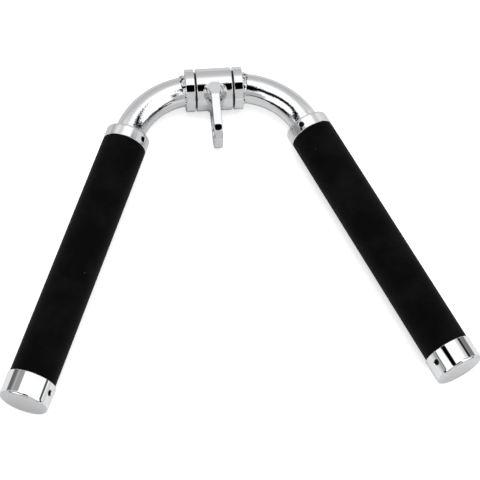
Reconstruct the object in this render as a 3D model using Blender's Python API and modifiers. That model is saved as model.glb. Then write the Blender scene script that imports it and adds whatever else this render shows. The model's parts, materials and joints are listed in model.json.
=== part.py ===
"""Triceps bar: a bent steel bar with a swivelling eye at its middle and a rubber grip on each arm.

Metres, +Z up. The bar lies flat, its arms run towards -Y, and the swivel turns about the X axis.
The origin is under the middle of the whole object, on the surface that it lies on.
"""
from math import asin, cos, pi, radians, sin, sqrt

import bmesh
import bpy
from mathutils import Vector

# Fits
FIT_GAP = 0.0003             # space between two pieces that touch on the real bar

# Bent bar: solid round steel
BAR_DIAMETER = 0.025
BEND_RADIUS = 0.062          # of the bar's centre line
ARM_ANGLE = radians(22.5)    # between each arm and the middle plane
ARM_STRAIGHT = 0.0015        # bare bar between the bend and the grip collar

# Swivel: sleeve on two flanged bushings
SLEEVE_LENGTH = 0.030
SLEEVE_WALL = 0.0039
SLEEVE_CHAMFER = 0.0006
BUSHING_WALL = 0.0010
BUSHING_LENGTH = 0.0125      # of the barrel, inside the sleeve
FLANGE_THICKNESS = 0.0008
FLANGE_LIP = 0.0012          # how far the flange stands out past the barrel

# Retaining collars, one each side of the swivel
COLLAR_LENGTH = 0.0076
COLLAR_CHAMFER = 0.0005

# Eye lug: plate with a round end
LUG_THICKNESS = 0.007
LUG_WIDTH = 0.0324
LUG_REACH = 0.037            # from the swivel's axis to the eye's centre
EYE_DIAMETER = 0.019
LUG_EDGE_ROUND = 0.0006
LUG_FLOOR_GAP = 0.0002       # the hanging lug's tip and its weld above the surface

# Weld beads: round beads, of which only the part outside the welded pieces stays
COLLAR_BEAD_RADIUS = 0.0024
LUG_BEAD_RADIUS = 0.005
BEAD_LIFT = 0.2              # a bead's middle lies this share of its radius off each surface
BEAD_RIPPLE = 0.07           # share of a bead's radius that its ripples add and take
COLLAR_BEAD_RIPPLES = 11
LUG_END_SINK = 0.7           # at the lug's two edges the bead lies deeper, by this share of its radius
LUG_END_NARROWING = 0.2      # and is narrower by this share

# Grip collars
GRIP_COLLAR_LENGTH = 0.011
GRIP_COLLAR_WALL = 0.0058
GRIP_COLLAR_ROUND = 0.0018   # on the edge that faces the bend
RIM_ROUND = 0.0004           # on the edges that meet the grip

# Rubber grips
GRIP_LENGTH = 0.215
GRIP_WALL = 0.0056
GRIP_END_ROUND = 0.0016

# End caps: cups that close the bar's ends
CAP_LENGTH = 0.020
CAP_WALL = 0.0066
CAP_END_THICKNESS = 0.005
CAP_EDGE_ROUND = 0.0014

# Set screws with a hexagon socket
SCREW_DIAMETER = 0.005
SCREW_RECESS = 0.0006        # how deep the screw sits below the surface round it
SOCKET_WIDTH = 0.0025        # across the flats
SOCKET_DEPTH = 0.0022
SCREW_CHAMFER = 0.0004
# Each screw's place round its arm, turned from straight up towards the other arm
COLLAR_SCREW_TURN = {"left": radians(54), "right": radians(30)}
CAP_SCREW_TURN = {"left": radians(68), "right": radians(60)}

# Facets
RING_STEPS = 40
SCREW_STEPS = 20
BEND_STEPS = 15
BAR_SIDES = 28
ROUND_STEPS = 2
RIPPLE_STEPS = 4
COLLAR_BEAD_SIDES = 8
LUG_BEAD_SIDES = 10
LUG_SIDE_STEPS = 20
LUG_END_STEPS = 6

# Worked out from the sizes above
BAR_R = BAR_DIAMETER / 2
BORE_R = BAR_R + FIT_GAP
BUSHING_R = BORE_R + BUSHING_WALL
SLEEVE_BORE_R = BUSHING_R + FIT_GAP
SLEEVE_R = SLEEVE_BORE_R + SLEEVE_WALL
FLANGE_R = BUSHING_R + FLANGE_LIP
SWIVEL_GAP = FLANGE_THICKNESS + 2 * FIT_GAP
COLLAR_START = SLEEVE_LENGTH / 2 + SWIVEL_GAP
COLLAR_END = COLLAR_START + COLLAR_LENGTH
BEND_TURN = pi / 2 - ARM_ANGLE
GRIP_COLLAR_R = BORE_R + GRIP_COLLAR_WALL
GRIP_R = BORE_R + GRIP_WALL
CAP_R = BORE_R + CAP_WALL
GRIP_COLLAR_START = ARM_STRAIGHT
GRIP_START = GRIP_COLLAR_START + GRIP_COLLAR_LENGTH + FIT_GAP
GRIP_END = GRIP_START + GRIP_LENGTH
CAP_START = GRIP_END + FIT_GAP
CAP_END = CAP_START + CAP_LENGTH
CAP_FLOOR = CAP_END - CAP_END_THICKNESS
BAR_END = CAP_FLOOR - FIT_GAP
EYE_R = EYE_DIAMETER / 2
LUG_HALF = LUG_WIDTH / 2

# Where the swivel's axis lies: high enough for the widest piece, and so far back that the origin
# is in the middle between the sleeve's back and the end caps' front corners
AXIS_HEIGHT = max(CAP_R, SLEEVE_R, GRIP_R, GRIP_COLLAR_R, LUG_HALF + LUG_FLOOR_GAP)
BEND_DEPTH = BEND_RADIUS * (1 - cos(BEND_TURN))
FRONT = (BEND_DEPTH + (CAP_END - CAP_EDGE_ROUND) * cos(ARM_ANGLE)
         + (CAP_R - CAP_EDGE_ROUND) * sin(ARM_ANGLE) + CAP_EDGE_ROUND)
AXIS_Y = (FRONT - SLEEVE_R) / 2
LUG_DROP = asin((AXIS_HEIGHT - LUG_HALF - LUG_FLOOR_GAP) / LUG_REACH)


def add_collection(name):
    collection = bpy.data.collections.new(name)
    bpy.context.scene.collection.children.link(collection)
    return collection


def add_material(name, colour, roughness, metallic):
    material = bpy.data.materials.new(name)
    material.use_nodes = True
    shader = material.node_tree.nodes["Principled BSDF"]
    shader.inputs["Base Color"].default_value = (*colour, 1)
    shader.inputs["Roughness"].default_value = roughness
    shader.inputs["Metallic"].default_value = metallic
    return material


def add_frame(name, parent=None, location=(0, 0, 0), rotation=(0, 0, 0)):
    """An empty that carries a group of pieces."""
    frame = bpy.data.objects.new(name, None)
    frame.parent = parent
    frame.location = location
    frame.rotation_euler = rotation
    bar.objects.link(frame)
    return frame


def add_piece(name, data, material, parent, location=(0, 0, 0), rotation=(0, 0, 0)):
    """A piece of the bar, or a cutter where there is no material."""
    piece = bpy.data.objects.new(name, data)
    piece.parent = parent
    piece.location = location
    piece.rotation_euler = rotation
    if material:
        data.materials.append(material)
        bar.objects.link(piece)
    else:
        piece.hide_render = True
        piece.display_type = "WIRE"
        cutters.objects.link(piece)
    return piece


def rounded(corners, closed):
    """Points (radius, height) of a profile from its corners (radius, height, rounding).

    A corner with a rounding becomes an arc that touches both of its sides.
    """
    points = []
    for i, (radius, height, rounding) in enumerate(corners):
        corner = Vector((radius, height))
        if rounding == 0 or not closed and i in (0, len(corners) - 1):
            points.append(corner)
            continue
        before = (Vector(corners[i - 1][:2]) - corner).normalized()
        after = (Vector(corners[(i + 1) % len(corners)][:2]) - corner).normalized()
        half = before.angle(after) / 2
        centre = corner + (before + after).normalized() * rounding / sin(half)
        touch = rounding / sin(half) * cos(half)
        start = (corner + before * touch - centre).normalized()
        end = (corner + after * touch - centre).normalized()
        for step in range(ROUND_STEPS + 1):
            points.append(centre + start.slerp(end, step / ROUND_STEPS) * rounding)
    return points


def turned(name, corners, material, parent, closed=True, steps=RING_STEPS, **place):
    """A piece turned about its own Z axis. The corners run down the outer side, then up the inner one."""
    points = rounded(corners, closed)
    edges = [(i, i + 1) for i in range(len(points) - 1)]
    if closed:
        edges.append((len(points) - 1, 0))
    mesh = bpy.data.meshes.new(name)
    mesh.from_pydata([(p.x, 0, p.y) for p in points], edges, [])
    piece = add_piece(name, mesh, material, parent, **place)
    screw = piece.modifiers.new("Turn", "SCREW")
    screw.axis = "Z"
    screw.steps = screw.render_steps = steps
    screw.use_merge_vertices = True
    screw.merge_threshold = FIT_GAP / 100
    return piece


def ring(name, outer_r, inner_r, start, end, roundings, material, parent, **place):
    """A turned ring. Its roundings are those of the outer far, outer near, inner near and inner far edge."""
    outer_far, outer_near, inner_near, inner_far = roundings
    corners = [(outer_r, end, outer_far), (outer_r, start, outer_near),
               (inner_r, start, inner_near), (inner_r, end, inner_far)]
    return turned(name, corners, material, parent, **place)


def round_rod(name, points, radius, sides, material, parent, cyclic=False, widths=None, **place):
    """A round rod or bead along the points. Widths scale its radius from point to point."""
    curve = bpy.data.curves.new(name, "CURVE")
    curve.dimensions = "3D"
    curve.bevel_depth = radius
    curve.bevel_resolution = (sides - 4) // 2
    curve.use_fill_caps = True
    spline = curve.splines.new("POLY")
    spline.points.add(len(points) - 1)
    spline.use_cyclic_u = cyclic
    for i, point in enumerate(points):
        spline.points[i].co = (*point, 1)
        spline.points[i].radius = widths[i] if widths else 1
    return add_piece(name, curve, material, parent, **place)


def as_mesh(curve_piece):
    """The same piece as a mesh, with its loose caps welded on."""
    bpy.context.view_layer.update()
    evaluated = curve_piece.evaluated_get(bpy.context.evaluated_depsgraph_get())
    mesh = bpy.data.meshes.new_from_object(evaluated)
    shape = bmesh.new()
    shape.from_mesh(mesh)
    bmesh.ops.remove_doubles(shape, verts=shape.verts, dist=FIT_GAP / 100)
    bmesh.ops.recalc_face_normals(shape, faces=shape.faces)
    shape.to_mesh(mesh)
    shape.free()
    name, parent, matrix = curve_piece.name, curve_piece.parent, curve_piece.matrix_world.copy()
    material = None if curve_piece.hide_render else curve_piece.data.materials[0]
    bpy.data.objects.remove(curve_piece)
    mesh.materials.clear()
    piece = add_piece(name, mesh, material, parent)
    piece.matrix_world = matrix
    return piece


def cylinder_cutter(name, radius, length, parent, sides=RING_STEPS, **place):
    """A cutter along its own Z axis, centred on its place."""
    mesh = bpy.data.meshes.new(name)
    shape = bmesh.new()
    bmesh.ops.create_cone(shape, cap_ends=True, segments=sides, radius1=radius, radius2=radius, depth=length)
    shape.to_mesh(mesh)
    shape.free()
    return add_piece(name, mesh, None, parent, **place)


def cut(piece, cutter, crosses_itself=False):
    boolean = piece.modifiers.new("Cut " + cutter.name, "BOOLEAN")
    boolean.operation = "DIFFERENCE"
    boolean.object = cutter
    boolean.use_self = crosses_itself


def bend_point(side, angle):
    """A point on the bar's centre line, the angle that it has turned through since the bend's start."""
    return Vector((side * (COLLAR_START + BEND_RADIUS * sin(angle)), -BEND_RADIUS * (1 - cos(angle)), 0))


def bar_points():
    """The bar's centre line, from the left arm's end to the right arm's end."""
    right = [bend_point(1, BEND_TURN * step / BEND_STEPS) for step in range(BEND_STEPS + 1)]
    right.append(right[-1] + BAR_END * Vector((sin(ARM_ANGLE), -cos(ARM_ANGLE), 0)))
    left = [Vector((-point.x, point.y, 0)) for point in reversed(right)]
    return left + right


def make_set_screw(name, side, turn, distance, outer_r, housing, arm):
    """A headless screw in a radial hole of its housing, its tip on the bar."""
    angle = pi / 2 + side * turn
    direction = Vector((cos(angle), sin(angle), 0))
    heading = (0, pi / 2, angle)
    length = outer_r - SCREW_RECESS - BORE_R
    seat = direction * BORE_R + Vector((0, 0, distance))
    hole = cylinder_cutter(name + "_hole", SCREW_DIAMETER / 2 + FIT_GAP, 2 * outer_r, arm, SCREW_STEPS,
                           location=seat + direction * (outer_r - FIT_GAP), rotation=heading)
    cut(housing, hole)
    corners = [(0, length, 0), (SCREW_DIAMETER / 2, length, SCREW_CHAMFER),
               (SCREW_DIAMETER / 2, 0, 2 * SCREW_CHAMFER), (0, 0, 0)]
    screw = turned(name, corners, blackened_steel, arm, closed=False, steps=SCREW_STEPS,
                   location=seat, rotation=heading)
    socket_r = SOCKET_WIDTH / 2 / cos(pi / 6)
    socket = cylinder_cutter(name + "_socket", socket_r, 2 * SOCKET_DEPTH, arm, 6,
                             location=seat + direction * length, rotation=heading)
    cut(screw, socket)


def ripple(i):
    """How much wider or narrower a bead is at its point number i."""
    return 1 + BEAD_RIPPLE * cos(2 * pi * i / RIPPLE_STEPS)


def make_collar_weld(name, side, collar_cutter, bar_cutter):
    """A rippled bead round the bar, in the corner between it and the retaining collar's outer face."""
    lift = COLLAR_BEAD_RADIUS * BEAD_LIFT
    angle = asin((COLLAR_LENGTH + lift) / BEND_RADIUS)
    count = RIPPLE_STEPS * COLLAR_BEAD_RIPPLES
    points = []
    widths = []
    for i in range(count):
        turn = 2 * pi * i / count
        points.append(Vector((cos(turn), sin(turn), 0)) * (BAR_R + lift))
        widths.append(ripple(i))
    bead = round_rod(name, points, COLLAR_BEAD_RADIUS, COLLAR_BEAD_SIDES, chrome, hub, cyclic=True,
                     widths=widths, location=bend_point(side, angle), rotation=(0, pi / 2, -side * angle))
    bead = as_mesh(bead)
    cut(bead, collar_cutter)
    cut(bead, bar_cutter)


def lug_outline(lug_half, eye_r, root):
    """The lug's plate seen flat: straight sides, a round end about the eye, and the eye itself."""
    steps = RING_STEPS // 2
    outline = [(root, -lug_half)]
    for step in range(steps + 1):
        angle = pi * (step / steps - 0.5)
        outline.append((LUG_REACH + lug_half * cos(angle), lug_half * sin(angle)))
    outline.append((root, lug_half))
    outlines = [outline]
    if eye_r:
        eye_angles = [2 * pi * step / RING_STEPS for step in range(RING_STEPS)]
        outlines.append([(LUG_REACH + eye_r * cos(angle), eye_r * sin(angle)) for angle in eye_angles])
    return outlines


def plate(name, outlines, half_thickness, edge_round, material, parent):
    """A flat plate in the plane across the swivel's axis, pointing away from it.

    Its edges are rounded inside its outlines.
    """
    curve = bpy.data.curves.new(name, "CURVE")
    curve.dimensions = "2D"
    curve.fill_mode = "BOTH"
    curve.extrude = half_thickness - edge_round
    curve.bevel_depth = edge_round
    curve.bevel_resolution = ROUND_STEPS - 1
    curve.offset = -edge_round
    for outline in outlines:
        spline = curve.splines.new("POLY")
        spline.points.add(len(outline) - 1)
        spline.use_cyclic_u = True
        for point, (along, across) in zip(spline.points, outline):
            point.co = (along, across, 0, 1)
    return as_mesh(add_piece(name, curve, material, parent, rotation=(pi / 2, 0, -pi / 2)))


def make_lug_weld(sleeve_cutter):
    """A rippled bead all round the lug's root, bent over the sleeve."""
    side_x = LUG_THICKNESS / 2 + LUG_BEAD_RADIUS * BEAD_LIFT
    edge_angle = asin(min(LUG_HALF / SLEEVE_R, 1))
    side_angle = edge_angle - side_x / (2 * SLEEVE_R)
    path = []
    for end in (1, -1):
        for step in range(LUG_SIDE_STEPS):
            path.append((end * side_x, end * side_angle * (2 * step / LUG_SIDE_STEPS - 1)))
        for step in range(LUG_END_STEPS):
            turn = pi * step / LUG_END_STEPS
            path.append((end * side_x * cos(turn), end * (side_angle + sin(turn) * side_x / SLEEVE_R)))
    points = []
    widths = []
    for i, (x, angle) in enumerate(path):
        nearness = min(abs(angle) / edge_angle, 1) ** 4
        width = (1 - LUG_END_NARROWING * nearness) * ripple(i)
        bead_r = SLEEVE_R + LUG_BEAD_RADIUS * (BEAD_LIFT - LUG_END_SINK * nearness)
        if angle < 0:
            clear_height = AXIS_HEIGHT - LUG_FLOOR_GAP - LUG_BEAD_RADIUS * width
            bead_r = min(bead_r, clear_height / sin(LUG_DROP - angle))
        points.append(Vector((x, -bead_r * cos(angle), bead_r * sin(angle))))
        widths.append(width)
    bead = as_mesh(round_rod("lug_weld", points, LUG_BEAD_RADIUS, LUG_BEAD_SIDES, chrome, swivel,
                             cyclic=True, widths=widths))
    lug_cutter = plate("lug_cutter", lug_outline(LUG_HALF + FIT_GAP, 0, 0), LUG_THICKNESS / 2 + FIT_GAP, 0,
                       None, swivel)
    cut(bead, lug_cutter, crosses_itself=True)
    cut(bead, sleeve_cutter)


def make_swivel():
    """The sleeve on its bushings, with the eye lug welded on."""
    along_x = (0, pi / 2, 0)
    half = SLEEVE_LENGTH / 2
    chamfers = (SLEEVE_CHAMFER, SLEEVE_CHAMFER, 0, 0)
    ring("swivel_sleeve", SLEEVE_R, SLEEVE_BORE_R, -half, half, chamfers, chrome, swivel, rotation=along_x)
    for name, side in SIDES:
        flange_far = half + FIT_GAP + FLANGE_THICKNESS
        barrel_end = half - BUSHING_LENGTH
        corners = [(FLANGE_R, flange_far, 0), (FLANGE_R, half + FIT_GAP, 0), (BUSHING_R, half + FIT_GAP, 0),
                   (BUSHING_R, barrel_end, 0), (BORE_R, barrel_end, 0), (BORE_R, flange_far, 0)]
        turned(name + "_bushing", corners, nylon, swivel, rotation=(0, side * pi / 2, 0))
    sleeve_cutter = cylinder_cutter("sleeve_cutter", SLEEVE_R + FIT_GAP, SLEEVE_LENGTH, swivel,
                                    2 * RING_STEPS, rotation=along_x)
    lug = plate("eye_lug", lug_outline(LUG_HALF, EYE_R, SLEEVE_BORE_R / 4), LUG_THICKNESS / 2,
                LUG_EDGE_ROUND, chrome, swivel)
    cut(lug, sleeve_cutter)
    make_lug_weld(sleeve_cutter)


def make_bar():
    """The bent bar and what is welded to it."""
    round_rod("bent_bar", bar_points(), BAR_R, BAR_SIDES, chrome, hub)
    bar_cutter = as_mesh(round_rod("bar_cutter", bar_points(), BORE_R, BAR_SIDES, None, hub))
    sink = BEND_RADIUS - sqrt(BEND_RADIUS ** 2 - COLLAR_LENGTH ** 2)
    for name, side in SIDES:
        chamfers = (COLLAR_CHAMFER, COLLAR_CHAMFER, 0, 0)
        ring(name + "_retaining_collar", SLEEVE_R, BORE_R + sink, COLLAR_START, COLLAR_END, chamfers,
             chrome, hub, rotation=(0, side * pi / 2, 0))
        collar_cutter = cylinder_cutter(name + "_collar_cutter", SLEEVE_R + COLLAR_BEAD_RADIUS,
                                        COLLAR_LENGTH + 2 * FIT_GAP, hub, rotation=(0, side * pi / 2, 0),
                                        location=(side * (COLLAR_START + COLLAR_END) / 2, 0, 0))
        make_collar_weld(name + "_collar_weld", side, collar_cutter, bar_cutter)


def make_arm(name, side):
    """What slides onto one arm, in the order that it goes on."""
    arm = add_frame(name + "_arm_frame", hub, bend_point(side, BEND_TURN), (pi / 2, 0, side * ARM_ANGLE))
    grip_collar = ring(name + "_grip_collar", GRIP_COLLAR_R, BORE_R, GRIP_COLLAR_START,
                       GRIP_COLLAR_START + GRIP_COLLAR_LENGTH,
                       (RIM_ROUND, GRIP_COLLAR_ROUND, RIM_ROUND, 0), chrome, arm)
    make_set_screw(name + "_grip_collar_set_screw", side, COLLAR_SCREW_TURN[name],
                   GRIP_COLLAR_START + GRIP_COLLAR_LENGTH / 2, GRIP_COLLAR_R, grip_collar, arm)
    ring(name + "_grip", GRIP_R, BORE_R, GRIP_START, GRIP_END,
         (RIM_ROUND, GRIP_END_ROUND, 0, 0), rubber, arm)
    corners = [(0, CAP_END, 0), (CAP_R, CAP_END, CAP_EDGE_ROUND), (CAP_R, CAP_START, RIM_ROUND),
               (BORE_R, CAP_START, RIM_ROUND), (BORE_R, CAP_FLOOR, 0), (0, CAP_FLOOR, 0)]
    cap = turned(name + "_end_cap", corners, chrome, arm, closed=False)
    make_set_screw(name + "_end_cap_set_screw", side, CAP_SCREW_TURN[name],
                   (CAP_START + CAP_FLOOR) / 2, CAP_R, cap, arm)


SIDES = (("left", -1), ("right", 1))

for old in list(bpy.data.objects):
    bpy.data.objects.remove(old)

bar = add_collection("triceps_bar")
cutters = add_collection("cutters")

chrome = add_material("chrome_plated_steel", (0.75, 0.75, 0.76), 0.08, 1)
rubber = add_material("black_rubber", (0.012, 0.012, 0.012), 0.75, 0)
nylon = add_material("black_nylon", (0.02, 0.02, 0.02), 0.45, 0)
blackened_steel = add_material("blackened_steel", (0.06, 0.06, 0.06), 0.4, 1)

# The hub frame and the swivel frame share their place, on the axis that the swivel turns about
hub = add_frame("hub_frame", location=(0, AXIS_Y, AXIS_HEIGHT))
swivel = add_frame("swivel_frame", hub, rotation=(LUG_DROP, 0, 0))

make_bar()
make_swivel()
for side_name, side_sign in SIDES:
    make_arm(side_name, side_sign)
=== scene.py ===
"""A triceps bar: a chrome-plated bent bar with a swivelling eye, rubber grips and end caps.

Metres, +Z up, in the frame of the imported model. The bar lies flat with its arms towards -Y.
"""
import json
from math import asin, cos, pi, radians, sin, tau

import bmesh
import bpy
import numpy as np
from mathutils import Matrix, Vector


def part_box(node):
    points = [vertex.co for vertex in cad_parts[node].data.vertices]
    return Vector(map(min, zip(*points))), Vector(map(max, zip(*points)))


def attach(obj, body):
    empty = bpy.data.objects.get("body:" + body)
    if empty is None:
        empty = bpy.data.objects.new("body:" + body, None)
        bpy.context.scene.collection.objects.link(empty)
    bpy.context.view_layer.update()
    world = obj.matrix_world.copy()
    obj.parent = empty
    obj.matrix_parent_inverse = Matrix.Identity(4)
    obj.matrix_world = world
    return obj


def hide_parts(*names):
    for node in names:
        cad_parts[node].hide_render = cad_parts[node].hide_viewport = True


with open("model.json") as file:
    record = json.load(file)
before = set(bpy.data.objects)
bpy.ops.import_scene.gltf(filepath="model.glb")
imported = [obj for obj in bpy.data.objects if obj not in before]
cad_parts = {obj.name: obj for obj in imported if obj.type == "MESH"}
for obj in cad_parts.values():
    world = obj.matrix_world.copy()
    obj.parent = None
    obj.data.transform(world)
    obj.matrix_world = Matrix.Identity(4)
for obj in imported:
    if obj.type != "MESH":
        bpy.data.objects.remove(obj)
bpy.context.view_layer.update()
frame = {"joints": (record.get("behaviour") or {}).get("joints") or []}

# Camera: the photograph looks down on the bar from in front and slightly from the left, through
# a long lens, and leans a little. It aims at a point on the plane that the bar's middle line lies in.
# The lens and the sensor are in millimetres.
AIM_RIGHT = 0.00871
AIM_FORWARD = -0.14252
VIEW_AZIMUTH = radians(-11.27)
VIEW_ELEVATION = radians(64.04)
VIEW_LEAN = radians(6.34)
VIEW_DISTANCE = 1.1444
VIEW_DEPTH = 20
FOCAL_LENGTH = 106.85
SENSOR_WIDTH = 36

swivel_axis = np.array(frame["joints"][0]["pos_m"])
back = Vector((sin(VIEW_AZIMUTH) * cos(VIEW_ELEVATION), -cos(VIEW_AZIMUTH) * cos(VIEW_ELEVATION),
               sin(VIEW_ELEVATION)))
camera = bpy.data.objects.new("camera", bpy.data.cameras.new("camera"))
camera.data.sensor_width = SENSOR_WIDTH
camera.data.lens = FOCAL_LENGTH
camera.data.clip_end = VIEW_DEPTH
camera.rotation_mode = "QUATERNION"
camera.rotation_quaternion = (back.to_track_quat("Z", "Y")
                              @ Matrix.Rotation(VIEW_LEAN, 4, "Z").to_quaternion())
camera.location = Vector(swivel_axis) + Vector((AIM_RIGHT, AIM_FORWARD, 0)) + back * VIEW_DISTANCE
bpy.context.scene.collection.objects.link(camera)
bpy.context.scene.camera = camera


# Studio: a white table under a wide overhead soft light, in a pale room.
# The table is white to the camera, pale grey with painted shade in the metal, and keeps the bar's shadow.
def linear(hex_colour):
    """An sRGB hex colour as the linear values that a shader takes."""
    srgb = np.array([int(hex_colour[i:i + 2], 16) for i in (0, 2, 4)]) / 255
    rgb = np.where(srgb <= 0.04045, srgb / 12.92, ((srgb + 0.055) / 1.055) ** 2.4)
    return (*rgb, 1.0)


def add_node(tree, kind, inputs=None, **settings):
    """Adds a shader node. A value in inputs is a constant, or another node's output to link."""
    node = tree.nodes.new(kind)
    for name, value in settings.items():
        setattr(node, name, value)
    for socket, value in (inputs or {}).items():
        if isinstance(value, bpy.types.NodeSocket):
            tree.links.new(value, node.inputs[socket])
        else:
            node.inputs[socket].default_value = value
    return node


def new_material(name):
    """An empty material and its node tree."""
    material = bpy.data.materials.new(name)
    material.use_nodes = True
    material.node_tree.nodes.clear()
    return material, material.node_tree


bpy.context.scene.view_settings.view_transform = "Standard"

# Diffuse light: half of it comes from the whole sky, and half from a wide lamp overhead, which stands
# a little to the right. The plating doesn't mirror that lamp.
SKY_LEVEL = 0.45
LAMP_LEVEL = 1.45
LAMP_WIDTH = radians(46)
LAMP_TILT = radians(3)
lamp = bpy.data.objects.new("overhead_lamp", bpy.data.lights.new("overhead_lamp", "SUN"))
lamp.data.energy = LAMP_LEVEL
lamp.data.angle = LAMP_WIDTH
lamp.rotation_euler = (0, LAMP_TILT, 0)
lamp.visible_glossy = False
bpy.context.scene.collection.objects.link(lamp)

# What the plating mirrors: a wide white soft light over the bar and in front of it, a back wall that
# fades to grey, and the pale, grey and black things of the room round them.
# Places are angles in degrees, seen from the bar: to the right and to the back of straight up.
SOFT_LIGHT = 1.2
# The soft light's back edge: where it has faded out, and where it is full
SOFT_LIGHT_EDGE = 25, -5
WALL_GREY = 0.53
# At the fade's start the wall is brighter than its grey by the gain, and each further fade angle
# divides that by e
FADE_START = 34
FADE_GAIN = 0.5
FADE_ANGLE = 9
# Each thing in the room is a strip: its two ends, its half width, the softness of its edge, its grey
ROOM_STRIPS = [
    # Two pale patches of the back wall
    ((-28, 44), (-50, 56), 7, 14, 0.85),
    ((40, 46), (60, 58), 7, 14, 0.85),
    # Grey walls at the sides, and the grey floor in front of the table
    ((-48, 12), (-84, 14), 12, 8, 0.56),
    ((50, 16), (84, 14), 8, 6, 0.7),
    ((-80, -10), (-92, -18), 5, 6, 0.4),
    ((-24, -72), (24, -72), 26, 12, 0.46),
    ((3, -52), (3, -90), 16, 12, 0.62),
    # Dark things at the back and at the far left
    ((-25, 30), (-38, 37), 5, 4, 0.35),
    ((-58, 50), (-66, 56), 12, 20, 0.15),
    ((56, 41), (68, 49), 8, 12, 0.22),
    ((43, 36), (48, 28), 6.5, 4, 0.02),
    ((-70, 4), (-86, 3), 4, 5, 0.28),
    # The camera and its bracket
    ((3, -12), (3, -28), 11, 3, 0.0),
    ((-6, -25), (-14, -36), 6, 3, 0.0),
    ((-10, -20), (-23, -20), 9.5, 3, 0.0),
    ((-24, -20), (-31, 2), 9, 3, 0.01),
    # The stand's left arm, with a dark corner of the room below its end
    ((-32, 4), (-52, 2.5), 5.2, 2, 0.0),
    ((-52, 2.5), (-70, -3), 5.5, 2, 0.0),
    ((-70, -4), (-77, -17), 2.5, 2, 0.2),
    ((-80.5, -24.5), (-79, -34), 9, 3, 0.01),
    # The stand's right arm
    ((17, 17), (26, 15), 2.5, 2, 0.08),
    ((27, 14), (38, 11), 4.8, 2, 0.0),
    ((38, 11), (56, 6.5), 4.2, 2, 0.0),
    ((56, 5.5), (64, 4), 4, 2, 0.0),
    ((64, 3.5), (80, 0), 5.2, 2, 0.0),
    ((76, 0), (82, -10), 4.5, 3, 0.1),
    # A leg of the stand, and the skirting at the right
    ((22, -28), (29, -43), 3.5, 2, 0.06),
    ((83.5, -17), (84, -26), 7.5, 3, 0.05),
    ((83, -22), (72, -46), 6, 3, 0.05),
    ((72, -46), (43, -62), 5, 3, 0.05),
    # The skirting at the left
    ((-79, -34), (-76, -42), 7.5, 3, 0.01),
    ((-76, -42), (-64, -58), 6.5, 3, 0.02),
    ((-66, -56), (-47, -71), 5, 3, 0.05),
    ((-47, -71), (-20, -79), 4, 3, 0.12),
]

world = bpy.data.worlds.new("studio_room")
world.use_nodes = True
bpy.context.scene.world = world
room = world.node_tree
room.nodes.clear()
heading = add_node(room, "ShaderNodeTexCoord").outputs["Generated"]
height = add_node(room, "ShaderNodeSeparateXYZ", {0: heading}).outputs["Z"]
tilt = add_node(room, "ShaderNodeMath", {0: height}, operation="ARCCOSINE").outputs[0]
degrees_down = add_node(room, "ShaderNodeMath", {0: tilt}, operation="DEGREES").outputs[0]
level = add_node(room, "ShaderNodeVectorMath", {0: heading, 1: (1, 1, 0)},
                 operation="MULTIPLY").outputs[0]
level = add_node(room, "ShaderNodeVectorMath", {0: level}, operation="NORMALIZE").outputs[0]
place = add_node(room, "ShaderNodeVectorMath", {0: level, "Scale": degrees_down},
                 operation="SCALE").outputs[0]
fade = add_node(room, "ShaderNodeMapRange",
                {"Value": degrees_down, "From Min": FADE_START, "From Max": FADE_START + FADE_ANGLE,
                 "To Min": 0, "To Max": -1}, clamp=False).outputs[0]
fade = add_node(room, "ShaderNodeMath", {0: fade}, operation="EXPONENT").outputs[0]
wall = add_node(room, "ShaderNodeMath", {0: fade, 1: FADE_GAIN, 2: WALL_GREY},
                operation="MULTIPLY_ADD").outputs[0]
wall = add_node(room, "ShaderNodeMath", {0: wall, 1: SOFT_LIGHT}, operation="MINIMUM").outputs[0]
to_the_back = add_node(room, "ShaderNodeSeparateXYZ", {0: place}).outputs["Y"]
front = add_node(room, "ShaderNodeMapRange",
                 {"Value": to_the_back, "From Min": SOFT_LIGHT_EDGE[0], "From Max": SOFT_LIGHT_EDGE[1]},
                 interpolation_type="SMOOTHSTEP").outputs[0]
mirrored = add_node(room, "ShaderNodeMix", {"Factor": front, 2: wall, 3: SOFT_LIGHT},
                    data_type="FLOAT").outputs[0]

# How far a place is from a strip: its distance to the nearest point between the strip's two ends
for start, end, half_width, softness, grey in ROOM_STRIPS:
    run = Vector(end) - Vector(start)
    direction = (*run.normalized(), 0)
    offset = add_node(room, "ShaderNodeVectorMath", {0: place, 1: (*start, 0)},
                      operation="SUBTRACT").outputs[0]
    along = add_node(room, "ShaderNodeVectorMath", {0: offset, 1: direction},
                     operation="DOT_PRODUCT").outputs["Value"]
    along = add_node(room, "ShaderNodeMath", {0: along, 1: 0}, operation="MAXIMUM").outputs[0]
    along = add_node(room, "ShaderNodeMath", {0: along, 1: run.length}, operation="MINIMUM").outputs[0]
    nearest = add_node(room, "ShaderNodeVectorMath", {0: direction, "Scale": along},
                       operation="SCALE").outputs[0]
    away = add_node(room, "ShaderNodeVectorMath", {0: offset, 1: nearest},
                    operation="DISTANCE").outputs["Value"]
    clear = add_node(room, "ShaderNodeMapRange",
                     {"Value": away, "From Min": half_width - softness / 2,
                      "From Max": half_width + softness / 2},
                     interpolation_type="SMOOTHSTEP").outputs[0]
    mirrored = add_node(room, "ShaderNodeMix", {"Factor": clear, 2: grey, 3: mirrored},
                        data_type="FLOAT").outputs[0]

ray = add_node(room, "ShaderNodeLightPath")
plain = add_node(room, "ShaderNodeBackground", {"Color": (1, 1, 1, 1), "Strength": SKY_LEVEL})
shine = add_node(room, "ShaderNodeBackground", {"Color": (1, 1, 1, 1), "Strength": mirrored})
both = add_node(room, "ShaderNodeMixShader",
                {0: ray.outputs["Is Glossy Ray"], 1: plain.outputs[0], 2: shine.outputs[0]})
add_node(room, "ShaderNodeOutputWorld", {"Surface": both.outputs[0]})
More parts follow.
